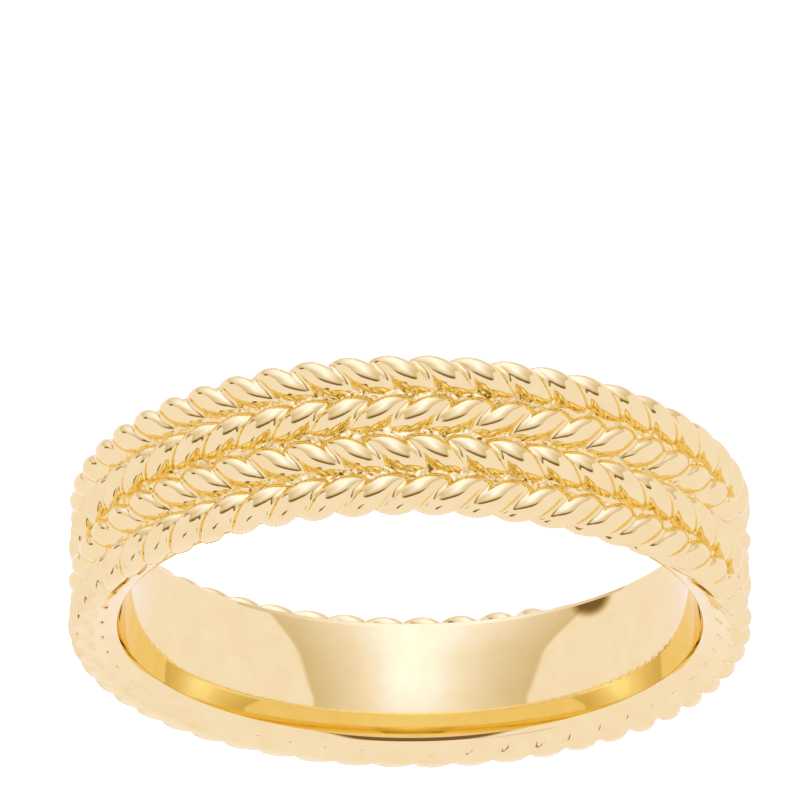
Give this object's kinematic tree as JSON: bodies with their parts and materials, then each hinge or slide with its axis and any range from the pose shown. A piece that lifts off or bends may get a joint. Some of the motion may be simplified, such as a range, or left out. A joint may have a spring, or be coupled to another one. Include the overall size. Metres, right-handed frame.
{
  "type": "finger ring",
  "caption": "Band ring of gold-coloured steel, its outside worked as twisted ropes lying side by side, its inside smooth and slightly domed.",
  "frame": {"origin": "centre of the bounding box's bottom face, on the axis of the finger hole, where the ring rests on its side", "axes": "+Z along the axis of the finger hole"},
  "size_m": [0.0202, 0.0202, 0.0049],
  "materials": {
    "gold_steel": "polished, gold-coloured steel"
  },
  "bodies": {
    "root": {"ring_band": "gold_steel"}
  },
  "joints": []
}
